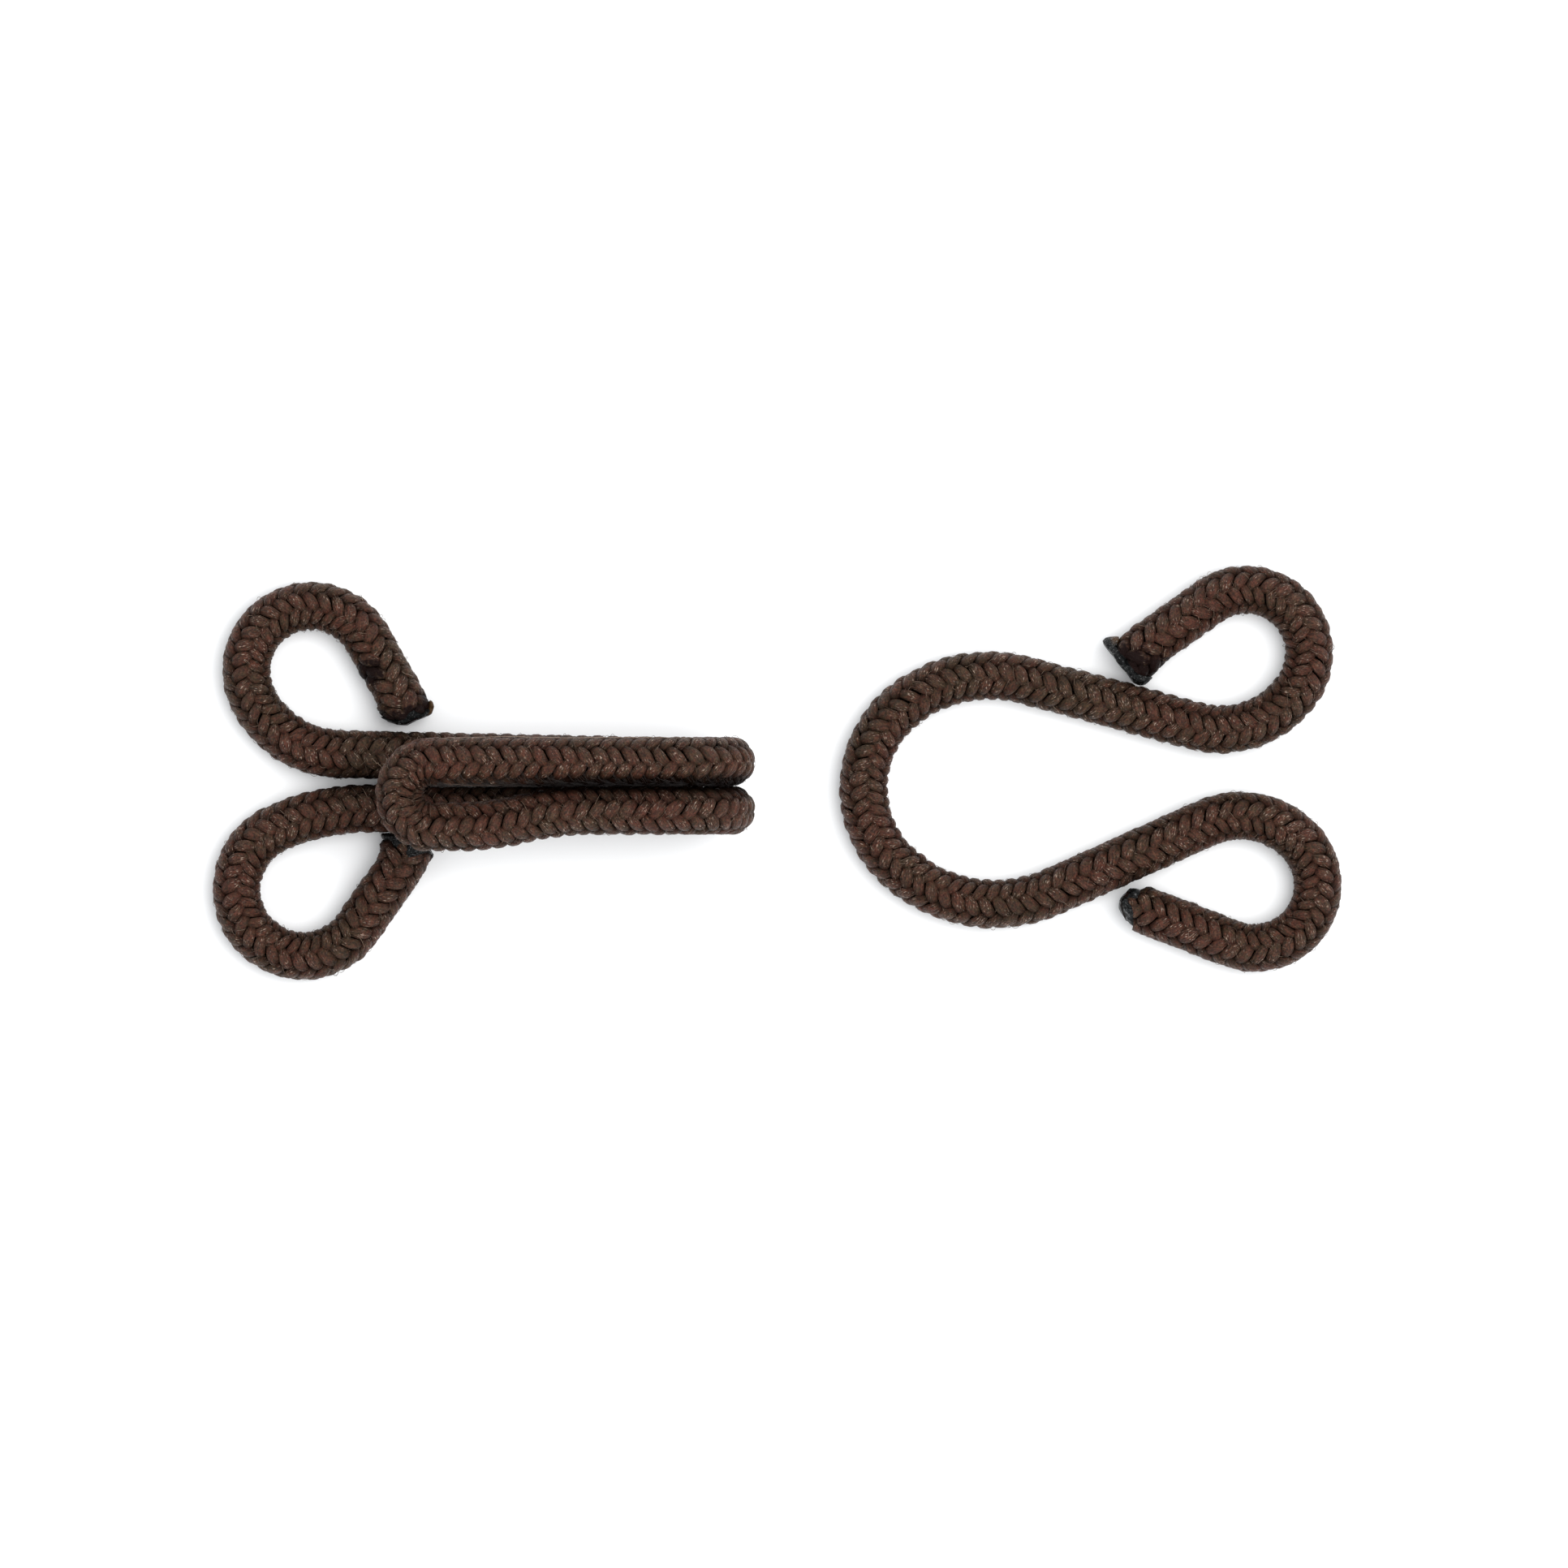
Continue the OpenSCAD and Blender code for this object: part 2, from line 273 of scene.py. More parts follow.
def middle_of_pair():
    """Where the hook and the eye stand, so that the origin is under the middle of their box."""
    hook = np.concatenate([
        flat_line(HOOK_UPPER, HOOK_UPPER_START, solid_steps),
        flat_line(HOOK_LOWER, HOOK_LOWER_START, solid_steps),
    ])
    eye = np.concatenate([
        flat_line(EYE_UPPER, EYE_TIP, solid_steps),
        flat_line(EYE_LOWER, EYE_BACK, solid_steps),
    ]) + (APART, -EYE_DROP, 0)
    low = np.minimum(hook.min(0), eye.min(0))
    high = np.maximum(hook.max(0), eye.max(0))
    hook_at = np.array([-(low[0] + high[0]) / 2, -(low[1] + high[1]) / 2, 0])
    return hook_at, hook_at + (APART, -EYE_DROP, 0)


# Braid: sixteen strands, eight each way, each over two and under two of the others. The
# cord's surface has two coordinates: the turn, eight to a full circle, and the phase, one to a
# stitch. Where a strand is out, its stitch fills one turn and lies beside the next in a column.
LAY_STRANDS = 8
TURN_DEGREES = 360 / LAY_STRANDS
STITCH_W = 2 * math.pi * CORD_R / LAY_STRANDS
STITCH_L = 0.95 * MM
# A bend bunches the stitches by this share of the cord's radius over the bend's
BUNCHING = 0.45
# Length over which the bunching fades in, as steps of the middle line
FADE_STEPS = 41
# How uneven the stitch length is, as a share of it, and the length of its waves
PACE_UNEVEN = 0.05
PACE_WAVE = 9 * MM
# How far the braid wanders round the cord, in degrees, and the length of its waves
TWIST_UNEVEN = 4
TWIST_WAVE = 30 * MM
# How far the braid is turned about each cord, in degrees, at places along it in millimetres
HOOK_TWISTS = [(0, 0), (74, 0), (80, 26), (94, 26), (104, 0)]
EYE_TWISTS = [(0, 0), (64, -8), (70, 6)]
# Turn from the cord's side to where the braid's own turn starts
TOP_TURN = 0.12
# First turn at which a strand of the right lay is furthest out
STITCH_TURN = 0.25
# How far a strand lags before the middle of a stitch and leads after it, as a turn, so that the
# stitch lies more across the cord
LEAN = 0.10
# Rings of a strand in one pitch, and where the points of a ring stand, most on the outer side
RINGS = 8
RING_ANGLES = np.radians([0, 36, 72, 108, 144, 180, 240, 300])
STRAND_W = 0.77 * MM
STRAND_T = 0.46 * MM
# Share by which a strand is wider where it is out and narrower where it is under, share by which
# single stitches differ in that, and share by which it is narrower between the two
FULLER = 0.12
FULLER_UNEVEN = 0.22
SLENDER = 0.2
# Share by which a strand is thicker where it is out
THICKER = 0.05
# Middle radius of the strands, and how far a stitch stands out of it and dives under it
BRAID_R = 1.15 * MM
BRAID_RISE = 0.165 * MM
# Form of the top of a stitch: the higher, the rounder
ROUNDNESS = 1.5
# Unevenness of a strand: how far it wanders, as a turn, how far it stands out, and its width,
# as a share, with the longest wave of each in stitches
WANDER = 0.09
RADIUS_UNEVEN = 0.03 * MM
WIDTH_UNEVEN = 0.08
STRAND_WAVES = (9, 5, 4)
# How far single stitches differ in height
HEIGHT_UNEVEN = 0.05 * MM
# Distances from a tip between which the strands melt together, the share of their rise that
# they lose there, and how much further out they lie
MELT_NEAR = 0.3 * MM
MELT_FAR = 1.4 * MM
MELT_LOSS = 0.75
MELT_SWELL = 0.07 * MM
# How high a point of a strand counts for the shade painted into its colour, darker at the feet
# of stitches: between out and under, its gain where the strand is out, its loss after the middle
# of a stitch, and its gain on the strand's outer side
RISE_MIDDLE = 0.35
RISE_OUT = 0.45
RISE_AFTER = 0.1
RISE_SIDE = 0.2
# Height of the braid's underside over the table
LOWEST = 0.01 * MM
# The imported yarn under the crossings: radius, points of a ring, tone, and how high it counts
# for the shade painted into its colour
LINING_R = 1.18 * MM
LINING_SIDES = 16
LINING_TONE = 0.5
LINING_RISE = 0.3
# Loose filaments: thickness, lengths in stitches, rings of each, number to a millimetre of cord,
# and lengths of cord that stay clear at its start and end, in millimetres
FUZZ_T = 0.03 * MM
FUZZ_L = (0.15, 0.6)
FUZZ_RINGS = 5
FUZZ_PER_MM = 14
FUZZ_CLEAR = (2.0, 2.5)
# Spread of a filament's heading and of its bend, and how pale the palest is: partly its own
# lighter colour, partly painted highlight
FUZZ_SPREAD = 0.5
FUZZ_PALEST = 0.7
# How deep a filament's two ends lie in the braid, how far its arch lifts it at least, and the
# mean of what is added to that and its limits
FUZZ_ROOT = 0.10 * MM
FUZZ_LIFT = 0.08 * MM
FUZZ_ARCH = 0.05 * MM
FUZZ_ARCH_LIMITS = (0.01 * MM, 0.16 * MM)
# Filaments matted between the two cords of the bill, a dark layer that paints the shade in the
# valley between them: stretch of the cord in millimetres, angles in degrees, lengths in stitches,
# number, how much they follow the strands, and how much painted shade they get at least
MATTED = (51.5, 72.0)
MATTED_ANGLES = (166.0, 208.0)
MATTED_L = (0.8, 2.2)
MATTED_NUMBER = 1300
MATTED_HEADING = 0.1
MATTED_SHADE = 0.9
# Filaments that stand out in the photograph: along the bill's upper edge, in its slot, and on
# the shank; ends along the cord in millimetres, angles from its side, heights in millimetres,
# and how pale each is, from 0 to 1
# Their paleness is partly painted highlight
STRAYS = [
    ("bill_edge_filament", 71.9, 55.7, (344, 346, 343, 346, 345), (0.02, 0.07, 0.04, 0.06, 0.0),
     1.0),
    ("slot_filament", 72.0, 67.3, (212, 202, 196, 190), (0.05, 0.12, 0.08, 0.02), 0.1),
    ("shank_filament", 26.9, 28.0, (96, 112, 134), (0.02, 0.12, 0.05), 1.0),
]
STRAY_T = 0.045 * MM
STRAY_RINGS = 120
# How far they wander round the cord, in degrees, and their longest wave as a share of them
STRAY_UNEVEN = 3
STRAY_WAVE = 0.5
# Gaps between two stretches of cord that get the most painted shade and those that get none, how
# far along the cord two stretches are when they count as two, and steps from one point of the
# middle line to the next that is looked at
NARROW_GAP = 0.35 * MM
WIDE_GAP = 1.5 * MM
OTHER_STRETCH = 4 * MM
GAP_STEPS = 8


def waves(seed, at, shape, longest, count=4):
    """Smooth unevenness from -1 to 1: the mean of sines with random starts, one set for each
    item of shape, taken at the values of at. Sine number k is k times as fast as the longest
    wave, give or take a fifth."""
    rng = np.random.default_rng(seed)
    total = 0.0
    for k in range(count):
        start = rng.uniform(0, 2 * math.pi, shape)
        pace = 2 * math.pi / longest * (k + 1) * rng.uniform(0.8, 1.2, shape)
        total = total + np.sin(at * pace + start)
    return total / count


def smooth(value, low, high):
    """A soft step from 0 at low to 1 at high."""
    share = np.clip((value - low) / (high - low), 0, 1)
    return share * share * (3 - 2 * share)


def cord_along(stations, offset, seed, ends, twists):
    """A cord's middle line: its middle, side and up at each step, the way along it, and the
    phase of its braid, which grows by a step over the stitch length there. Stitches are shorter
    on a bend, and a little uneven everywhere, and so is the twist of the braid."""
    middle = stations[:, 0:3] + offset
    gaps = np.linalg.norm(np.diff(middle, axis=0), axis=1)
    keep = np.append(True, gaps > STEP / 10)
    middle, side, up = middle[keep], stations[keep, 3:6], stations[keep, 6:9]
    steps = np.linalg.norm(np.diff(middle, axis=0), axis=1)
    ahead = np.gradient(middle, axis=0)
    ahead /= np.linalg.norm(ahead, axis=1)[:, None]
    turned = np.linalg.norm(np.gradient(ahead, axis=0), axis=1) / STEP
    turned = np.convolve(turned, np.ones(FADE_STEPS) / FADE_STEPS, "same")
    along = np.append(0, np.cumsum(steps))
    uneven = PACE_UNEVEN * waves(seed, along, (), PACE_WAVE)
    pace = (1 + BUNCHING * turned * CORD_R) * (1 + uneven)
    phase = np.append(0, np.cumsum(steps / STITCH_L * (pace[1:] + pace[:-1]) / 2))
    at, degrees = zip(*twists)
    wander = TWIST_UNEVEN * waves(seed + 7, along, (), TWIST_WAVE)
    twist = np.radians(np.interp(along / MM, at, degrees) + wander)
    return {
        "middle": middle, "side": side, "up": up, "along": along, "phase": phase,
        "twist": twist, "seed": seed,
        "ends": [
            {"tip": middle[0], "out": -ahead[0], **ends[0]},
            {"tip": middle[-1], "out": ahead[-1], **ends[1]},
        ],
    }


def column_at(cord, phase, name):
    """One of a cord's columns of vectors at any phases."""
    flat = np.ravel(phase)
    found = [np.interp(flat, cord["phase"], cord[name][:, k]) for k in range(3)]
    return np.stack(found, axis=1).reshape(np.shape(phase) + (3,))


def on_cord(cord, turn, phase, radius):
    """Points from cord coordinates: the middle at that phase, plus the radius times the cosine
    of the turn along the side and its sine along the up."""
    twist = np.interp(phase, cord["phase"], cord["twist"])
    angle = (turn + TOP_TURN) * 2 * math.pi / LAY_STRANDS + twist
    reach = (
        np.cos(angle)[..., None] * column_at(cord, phase, "side")
        + np.sin(angle)[..., None] * column_at(cord, phase, "up")
    )
    return column_at(cord, phase, "middle") + radius[..., None] * reach


# Cut ends, in millimetres. Across a cord, left and right are as seen along its leg towards the
# tip, and places across run from right to left.
# spread: length over which an end gets its own form
# widths: half widths, right then left
# face: how far the end stands past the tip, at places across
# burn: length of burnt braid, and the share that it leans to the left
# smear: a lesser burn, as its place back from the tip and across, its radius and its degree
# cap: how far the melted skin reaches back over the braid, at places across
HOOK_UPPER_END = {
    "spread": 2.4,
    "widths": (1.72, 1.45),
    "face": [(-1.8, -0.95), (-1.5, -0.6), (-1.07, -0.12), (-0.55, 0.17), (0.1, 0.2),
             (0.7, 0.34), (1.2, 0.28), (1.5, -0.05)],
    "burn": (1.7, 0.1),
    "smear": (3.8, -0.85, 1.15, 0.8),
    "cap": [(-1.5, 0.3), (-0.8, 0.3), (-0.4, 0.35), (0.0, 0.6), (0.35, 0.55), (0.6, 0.35),
            (1.5, 0.3)],
}
HOOK_LOWER_END = {
    "spread": 2.4,
    "widths": (1.38, 2.0),
    "face": [(-1.45, -0.15), (-0.9, 0.05), (0.0, 0.0), (0.8, -0.15), (1.4, -0.4), (2.0, -0.72)],
    "burn": (0.8, 0.2),
    "cap": [(-1.4, 0.1), (-0.9, 0.25), (-0.6, 0.7), (-0.3, 1.2), (0.0, 1.2), (0.4, 0.8),
            (1.0, 0.65), (1.5, 0.45)],
}
EYE_UPPER_END = {
    "spread": 2.4,
    "widths": (1.52, 1.95),
    "face": [(-2.0, 0.2), (0.0, 0.12), (1.4, 0.04), (1.75, -0.15), (2.0, -0.4)],
    "burn": (2.8, 0.65),
    "cap": [(-2.0, 1.5), (-1.5, 1.3), (-1.1, 0.6), (0.8, 0.5), (1.2, 0.9), (1.6, 1.3)],
}
EYE_LOWER_END = {
    "spread": 1.3,
    "widths": (1.12, 1.2),
    "face": [(-1.2, -0.3), (-0.9, -0.1), (0.0, 0.14), (0.5, -0.1), (0.8, -0.35), (1.2, -0.8)],
    "burn": (0.7, 0.0),
    "cap": [(-1.2, 0.9), (-0.4, 0.75), (0.4, 0.7), (1.2, 0.9)],
}
# How far the strands dive under the melted skin
CAP_SINK = 0.17 * MM
# How ragged the edge of a burn is, and the length of its waves across, as a share of the radius
RAGGED = 0.25 * MM
RAGGED_WAVE = 1.2


def left_of(end):
    """The way to the left of the leg that ends at a tip."""
    return np.array([-end["out"][1], end["out"][0], 0.0])


def runs_to(cord, along):
    """Each end of a cord, with the length of cord from its tip to each point. Along is the
    length from the first tip."""
    return zip(cord["ends"], (along, cord["along"][-1] - along))


def in_metres(rows):
    """The columns of a table in millimetres, each as an array in metres."""
    return (np.array(column) * MM for column in zip(*rows))


def melted(points, cord, along):
    """Points of a cord as its melted ends leave them: near a tip, each side is stretched to its
    own width, and each point is moved along the leg by the slant of the end's face."""
    for end, run in runs_to(cord, along):
        left = left_of(end)
        across = (points - end["tip"]) @ left
        near = 1 - smooth(run, MELT_NEAR, end["spread"] * MM)
        right_w, left_w = (w * MM for w in end["widths"])
        wide = across * (np.where(across > 0, left_w, right_w) / CORD_R - 1) * near
        place, face = in_metres(end["face"])
        slant = np.interp(across + wide, place, face) * near
        points = points + wide[..., None] * left + slant[..., None] * end["out"]
    return points


def capped(points, cord, along):
    """How far the braid is gone into the melted skin at its points, from 0 to 1: all of it up to
    0.6 of the skin's length, and none from 1.1 of that length and 0.15 mm on."""
    total = np.zeros(points.shape[:-1])
    for end, run in runs_to(cord, along):
        place, length = in_metres(end["cap"])
        reach = np.interp((points - end["tip"]) @ left_of(end), place, length)
        total = np.maximum(total, 1 - smooth(run, 0.6 * reach, 1.1 * reach + 0.15 * MM))
    return total


def burnt(points, cord, along):
    """How burnt a cord is at its points, from 0 to 1: it grows over the last stretch before a
    tip, of a length of its own, to a tenth of that length, and may lean to one side of the leg.
    A smear is a round spot that fades over the outer half of its radius."""
    total = np.zeros(points.shape[:-1])
    for end, run in runs_to(cord, along):
        across = np.clip((points - end["tip"]) @ left_of(end) / CORD_R, -1, 1)
        length, lean = end["burn"]
        limit = length * MM * (1 + lean * across)
        ragged = run + RAGGED * waves(5, across, (), RAGGED_WAVE)
        total = np.maximum(total, 1 - smooth(ragged, 0.1 * limit, limit))
        if "smear" in end:
            back, aside, size, degree = end["smear"]
            away = np.hypot(run - back * MM, across * CORD_R - aside * MM)
            total = np.maximum(total, degree * (1 - smooth(away, 0.5 * size * MM, size * MM)))
    return total


def painted_gap_shade(points, cord, along):
    """How much shade is painted on a point for lying deep in a gap between two stretches of cord,
    from 0 to 1: the room at a point is its distance from the nearest other stretch, less the
    radius of the cord. The ends are left out, where a stretch stands square to the cord that it
    comes near."""
    last = cord["along"][-1]
    stretch = (cord["along"] > CORD_R) & (cord["along"] < last - CORD_R)
    middle = cord["middle"][stretch][::GAP_STEPS].astype(np.float32)
    flat = points.reshape(-1, 3).astype(np.float32)
    square = (flat ** 2).sum(1)[:, None] + (middle ** 2).sum(1) - 2 * flat @ middle.T
    same = abs(along.ravel()[:, None] - cord["along"][stretch][::GAP_STEPS]) < OTHER_STRETCH
    nearest = np.sqrt(np.where(same, 1.0, square).min(1)).reshape(along.shape)
    return 1 - smooth(nearest - CORD_R, NARROW_GAP, WIDE_GAP)


def put_mesh(name, points, values, material, across=0.0, along=0.0):
    """An object of closed tubes. Points has the shape (tubes, rings, points of a ring, 3), and
    each ring runs to the left round the way along the tube. Neighbouring rings are joined by
    quads, and each end is one flat face. Values holds a number for each point, by name. The
    first texture coordinate is across plus the share of the way round, the second is along."""
    tubes, rings, sides = points.shape[:3]
    number = np.arange(tubes * rings * sides).reshape(tubes, rings, sides)
    beside = np.roll(number, -1, axis=2)
    quads = np.stack(
        [number[:, :-1], beside[:, :-1], beside[:, 1:], number[:, 1:]], axis=-1
    ).reshape(-1, 4)
    caps = np.concatenate([number[:, 0, ::-1], number[:, -1]])
    corners = np.concatenate([quads.ravel(), caps.ravel()])
    totals = np.concatenate([np.full(len(quads), 4), np.full(len(caps), sides)])
    mesh = bpy.data.meshes.new(name)
    mesh.vertices.add(number.size)
    mesh.vertices.foreach_set("co", points.astype(np.float32).ravel())
    mesh.loops.add(corners.size)
    mesh.loops.foreach_set("vertex_index", corners.astype(np.int32))
    mesh.polygons.add(totals.size)
    mesh.polygons.foreach_set("loop_start", (np.cumsum(totals) - totals).astype(np.int32))
    mesh.polygons.foreach_set("use_smooth", np.ones(totals.size, bool))
    mesh.update(calc_edges=True)
    full = (tubes, rings, sides)
    share = np.arange(sides) / sides
    round_uv = np.broadcast_to(np.broadcast_to(across, full) + share, full)
    along_uv = np.broadcast_to(along, full)
    quad_round = round_uv[:, :-1, :, None] + np.array([0, 1, 1, 0]) / sides
    quad_along = np.stack(
        [along_uv[:, :-1], along_uv[:, :-1], along_uv[:, 1:], along_uv[:, 1:]], axis=-1
    )
    flat_uv = np.stack([quad_round, quad_along], axis=-1).reshape(-1, 2)
    cap_uv = np.zeros((caps.size, 2))
    layer = mesh.uv_layers.new(name="strand")
    layer.uv.foreach_set("vector", np.concatenate([flat_uv, cap_uv]).astype(np.float32).ravel())
    for key, value in values.items():
        column = mesh.attributes.new(key, "FLOAT", "POINT")
        column.data.foreach_set("value", np.broadcast_to(value, full).astype(np.float32).ravel())
    mesh.materials.append(material)
    piece = bpy.data.objects.new(name, mesh)
    bpy.context.scene.collection.objects.link(piece)
    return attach(piece, "root")


def braid_lay(name, cord, lay, material):
    """The eight strands of one lay, 1 to the right and -1 to the left.

    A strand's turn grows by its lay with each pitch of phase. Its radius swings about the middle
    radius as a flattened cosine of the turn, once in two pitches: out over two strands of the
    other lay and in under two. Its width grows with the swing, and shrinks where the swing is
    nought. A point of its ring lies across the strand by half its width times the cosine of the
    ring angle, and outward by half its thickness times the sine. Near the cut ends all strands
    melt together, and the braid is pressed flat where it lies on the table.
    """
    last = cord["phase"][-1]
    phase = np.linspace(0, last, math.ceil(last * RINGS))[None, :]
    strand = np.arange(LAY_STRANDS)[:, None]
    seed = cord["seed"] * 100 + lay * 10
    wander, stand, spread = (
        waves(seed + k, phase, (LAY_STRANDS, 1), longest) for k, longest in enumerate(STRAND_WAVES)
    )
    turn = strand + lay * phase
    swing = lay * np.cos(math.pi * (turn - STITCH_TURN))
    after_middle = np.sin(math.pi * (turn - STITCH_TURN))
    shaped = swing * np.sqrt((1 + ROUNDNESS) / (swing ** 2 + ROUNDNESS))
    # Each stitch has its own tone, size and height
    number = np.floor((turn - STITCH_TURN - (1 - lay) / 2) / 2 + 0.5).astype(int)
    number = number - number.min()
    dice = np.random.default_rng(seed + 5).random((3, LAY_STRANDS, number.max() + 1))
    tone, size, height = dice[:, strand, number]
    turn = turn + lay * LEAN * after_middle + WANDER * wander
    along = np.interp(phase, cord["phase"], cord["along"])
    to_end = np.minimum(along, cord["along"][-1] - along)
    melt = 1 - smooth(to_end, MELT_NEAR, MELT_FAR)
    taller = HEIGHT_UNEVEN * (height - 0.5) * smooth(shaped, 0, 1)
    plain = on_cord(cord, turn, phase, np.full(turn.shape, CORD_R))
    radius = (
        BRAID_R
        + BRAID_RISE * shaped * (1 - MELT_LOSS * melt)
        + (RADIUS_UNEVEN * stand + taller) * (1 - melt)
        + MELT_SWELL * melt
        - CAP_SINK * capped(plain, cord, along)
    )
    fuller = (FULLER + FULLER_UNEVEN * (size - 0.5)) * shaped
    half_w = STRAND_W / 2 * (1 + WIDTH_UNEVEN * spread) * (1 + fuller)
    half_w = half_w * (1 - SLENDER * (1 - swing ** 2))
    half_t = STRAND_T / 2 * (1 + THICKER * shaped)
    run = math.hypot(STITCH_W, STITCH_L)
    aside = half_w[..., None] * np.cos(RING_ANGLES)
    outward = half_t[..., None] * np.sin(RING_ANGLES)
    ring_turn = turn[..., None] - aside * STITCH_L / run / STITCH_W
    ring_phase = phase[..., None] + lay * aside * STITCH_W / run / STITCH_L
    ring_radius = radius[..., None] + outward
    run_along = np.interp(ring_phase, cord["phase"], cord["along"])
    points = melted(on_cord(cord, ring_turn, ring_phase, ring_radius), cord, run_along)
    points[..., 2] = np.maximum(points[..., 2], LOWEST)
    # Painted shade: the lower a point rises, the darker the yarn's colour there
    rise = RISE_MIDDLE + (RISE_OUT * shaped - RISE_AFTER * after_middle)[..., None]
    values = {
        "tone": tone[..., None],
        "rise": rise + RISE_SIDE * np.sin(RING_ANGLES),
        "burn": burnt(points, cord, run_along),
        # Painted shade where the strand lies deep in a gap between two stretches of cord
        "painted_gap_shade": painted_gap_shade(points, cord, run_along),
    }
    # Each strand reads its streaks from a place of its own
    return put_mesh(
        name, points, values, material,
        across=strand[..., None] * 10.0, along=(phase * run / MM)[..., None],
    )


def lining(name, cord, material):
    """The yarn packed between the wire and the crossings: a tube with a ring for each half
    stitch."""
    phase = np.linspace(0, cord["phase"][-1], math.ceil(2 * cord["phase"][-1]))[None, :, None]
    turn = np.linspace(0, LAY_STRANDS, LINING_SIDES, endpoint=False)[None, None, :]
    phase, turn = np.broadcast_arrays(phase, turn)
    along = np.interp(phase, cord["phase"], cord["along"])
    points = melted(on_cord(cord, turn, phase, np.full(phase.shape, LINING_R)), cord, along)
    # Painted shade: the lining counts as low and deep in a gap, so it is drawn nearly black
    values = {
        "tone": LINING_TONE, "rise": LINING_RISE, "burn": burnt(points, cord, along),
        "painted_gap_shade": 1.0,
    }
    return put_mesh(name, points, values, material, along=phase)


# A way that no filament follows, to start the rings round it from
ASKEW = np.array([0.31, 0.17, 0.94])


def filaments(name, cord, phase, angle, lift, thick, tone, shade, material):
    """Loose filaments on a cord, each a thin tube that runs through the given phases and angles,
    at the given heights above the braid, and thins towards its ends by the root of a sine. Each
    of the first arguments has a row for each filament, and shade is the least painted shade that
    a gap gives them. Those under the cord, in the table, are left out."""
    turn = (angle / 360) * LAY_STRANDS - TOP_TURN
    line = on_cord(cord, turn, phase, CORD_R + lift)
    along = np.interp(phase, cord["phase"], cord["along"])
    line = melted(line, cord, along)
    clear = line[..., 2].min(axis=1) > LOWEST + thick
    line, along, tone = line[clear], along[clear], tone[clear]
    way = np.gradient(line, axis=1)
    way /= np.linalg.norm(way, axis=2)[..., None]
    beside = np.cross(way, ASKEW)
    beside /= np.linalg.norm(beside, axis=2)[..., None]
    over = np.cross(beside, way)
    taper = np.sin(np.linspace(0.15, math.pi - 0.15, line.shape[1]))[None, :] ** 0.5
    half = (thick * taper)[..., None, None] / 2
    round_angle = np.linspace(0, 2 * math.pi, 3, endpoint=False)[:, None]
    ring = np.cos(round_angle) * over[:, :, None] + np.sin(round_angle) * beside[:, :, None]
    points = line[:, :, None] + half * ring
    values = {
        "tone": tone[..., None],
        "burn": burnt(line, cord, along)[..., None],
        "painted_gap_shade": np.maximum(painted_gap_shade(line, cord, along), shade)[..., None],
    }
    return put_mesh(name, points, values, material)


def fuzz(name, cord, number, stretch, angles, lengths, heading, shade, material):
    """Short filaments that work loose from the strands: each starts anywhere on a stretch of
    cord, in millimetres, between two angles, and lifts off in an arch. A heading of 1 follows
    the strands, and one of 0 the cord."""
    rng = np.random.default_rng(cord["seed"] + 40)
    share = np.linspace(0, 1, FUZZ_RINGS)[None, :]
    low, high = np.interp(np.array(stretch) * MM, cord["along"], cord["phase"])
    first = rng.uniform(low, high, (number, 1))
    length = rng.uniform(*lengths, (number, 1))
    side = rng.choice([-1, 1], (number, 1))
    heading = heading * side * rng.normal(1.0, FUZZ_SPREAD, (number, 1))
    bend = rng.normal(0, FUZZ_SPREAD, (number, 1))
    phase = first + length * (share - bend * 0.3 * share ** 2)
    swept = TURN_DEGREES * length * (heading * share + bend * share ** 2)
    angle = rng.uniform(*angles, (number, 1)) + swept
    arch = rng.exponential(FUZZ_ARCH, (number, 1)).clip(*FUZZ_ARCH_LIMITS)
    lift = -FUZZ_ROOT + (FUZZ_LIFT + arch) * np.sin(math.pi * share) ** 0.6
    # Paler tone: partly the filament's own lighter colour, partly painted highlight
    tone = np.broadcast_to(FUZZ_PALEST * rng.random((number, 1)) ** 2, phase.shape)
    return filaments(name, cord, phase, angle, lift, FUZZ_T, tone, shade, material)


def stray(name, cord, first, last, angles, lifts, pale, material):
    """One long filament that came loose: it follows the cord between two places, in
    millimetres, through the listed angles and heights."""
    share = np.linspace(0, 1, STRAY_RINGS)[None, :]
    along = (first + (last - first) * share) * MM
    phase = np.interp(along, cord["along"], cord["phase"])
    knots = np.linspace(0, 1, len(angles))
    wander = STRAY_UNEVEN * waves(round(first), share, (1, 1), STRAY_WAVE)
    angle = np.interp(share, knots, angles) + wander
    lift = np.interp(share, np.linspace(0, 1, len(lifts)), lifts) * MM
    tone = np.full(phase.shape, pale)
    return filaments(name, cord, phase, angle, lift, STRAY_T, tone, 0.0, material)


def end_point(end, along, across, up):
    """Points from places by a tip: along the leg past the tip, to the left of it, and up."""
    middle = end["tip"] + along[..., None] * end["out"] + across[..., None] * left_of(end)
    return middle + up[..., None] * np.array([0, 0, 1.0])


# Outline of a seal's side, from behind: how far back as a share of the cap, and its radius over
# the cord's
DRAWN_UP = [(-1.2, 0.84), (-1.0, 0.9), (-0.7, 0.97), (-0.45, 0.99), (-0.25, 0.95),
            (-0.08, 0.84), (0.04, 0.64), (0.1, 0.36), (0.11, 0.05)]
PRESSED_FLAT = [(-1.0, 0.82), (-0.85, 0.91), (-0.7, 0.95), (-0.4, 0.98), (-0.15, 0.99),
                (-0.02, 0.97), (0.03, 0.88), (0.03, 0.55), (0.03, 0.05)]
SEAL_SIDES = 48
SEAL_RINGS = 40
# Half widths, as angles, of the fin and of its part that stays brown
FIN_ANGLE = 0.45
BROWN_ANGLE = 0.6
